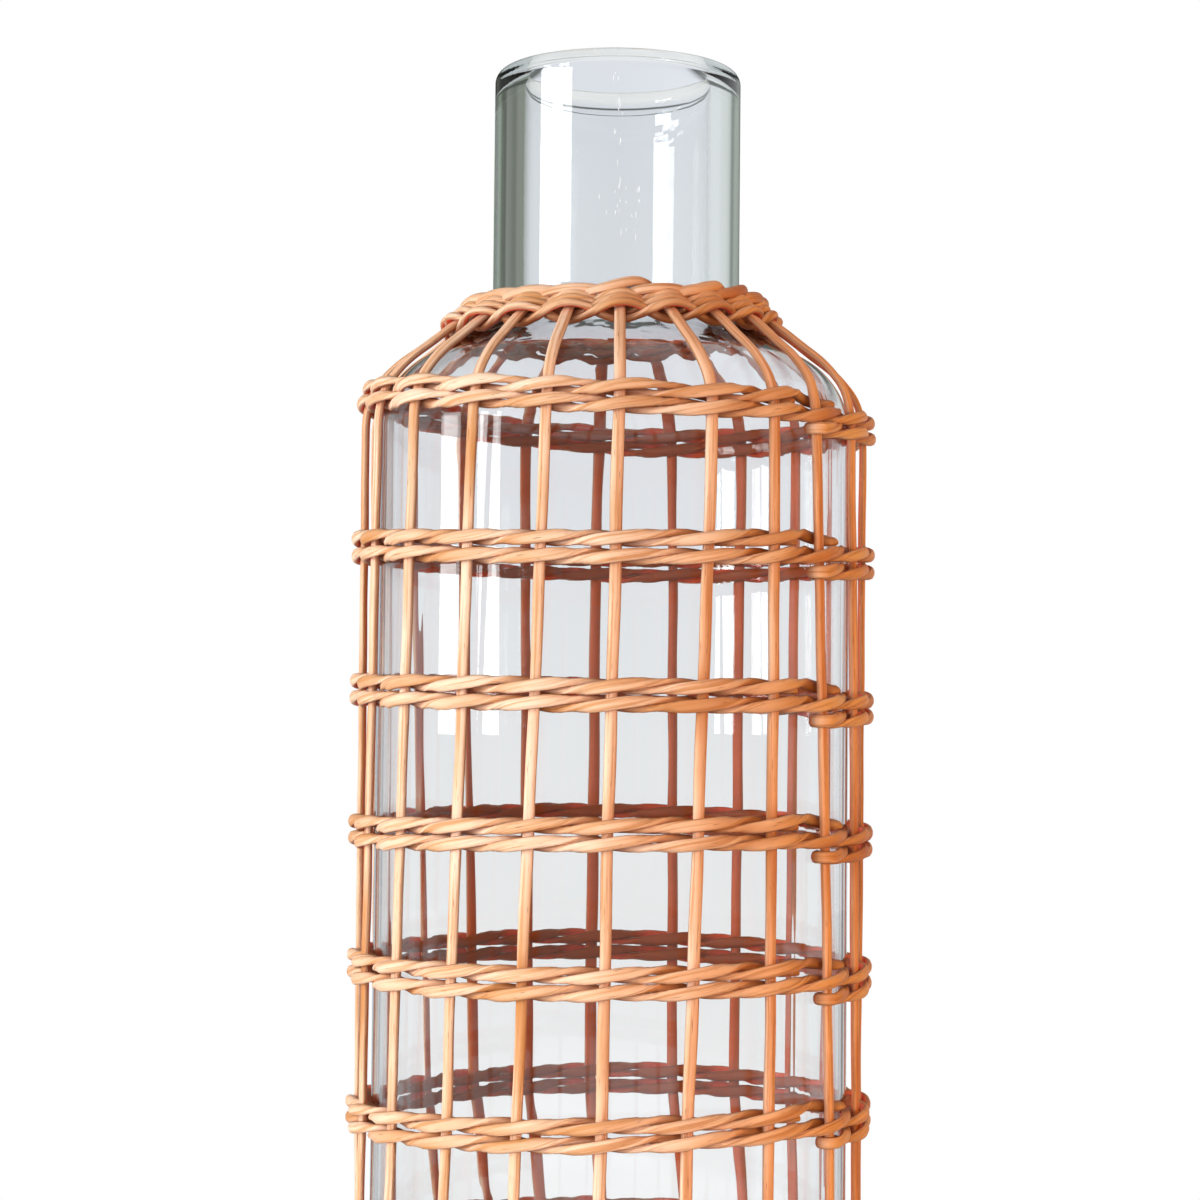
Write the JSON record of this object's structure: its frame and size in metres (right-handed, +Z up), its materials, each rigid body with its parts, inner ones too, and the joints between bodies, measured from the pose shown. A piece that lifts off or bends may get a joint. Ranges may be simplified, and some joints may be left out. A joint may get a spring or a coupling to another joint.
{
  "type": "rattan-wrapped carafe",
  "caption": "Clear glass carafe with a straight neck and round sloping shoulder, held in an open cage of twined rattan stakes and bands that ends in a woven collar at the neck.",
  "frame": {"origin": "on the surface that the carafe stands on, under the axis of the glass", "axes": "+Z up along the axis of the bottle, -Y towards the front of the picture, +X to its right"},
  "size_m": [0.0968, 0.0966, 0.2419],
  "materials": {
    "clear_glass": "clear, smooth and thick-walled",
    "rattan_stake": "round cane, satin",
    "rattan_weaver": "split cane, satin"
  },
  "bodies": {
    "root": {"glass_bottle": "clear_glass", "stake_01": "rattan_stake", "stake_02": "rattan_stake", "stake_03": "rattan_stake", "stake_04": "rattan_stake", "stake_05": "rattan_stake", "stake_06": "rattan_stake", "stake_07": "rattan_stake", "stake_08": "rattan_stake", "stake_09": "rattan_stake", "stake_10": "rattan_stake", "stake_11": "rattan_stake", "stake_12": "rattan_stake", "stake_13": "rattan_stake", "stake_14": "rattan_stake", "stake_15": "rattan_stake", "stake_16": "rattan_stake", "stake_17": "rattan_stake", "stake_18": "rattan_stake", "stake_19": "rattan_stake", "stake_20": "rattan_stake", "base_ring_weaver": "rattan_weaver", "foot_weaver": "rattan_weaver", "band_weaver_1": "rattan_weaver", "band_weaver_2": "rattan_weaver", "band_weaver_3": "rattan_weaver", "band_weaver_4": "rattan_weaver", "band_weaver_5": "rattan_weaver", "band_weaver_6": "rattan_weaver", "band_weaver_7": "rattan_weaver", "collar_weaver": "rattan_weaver"}
  },
  "joints": []
}
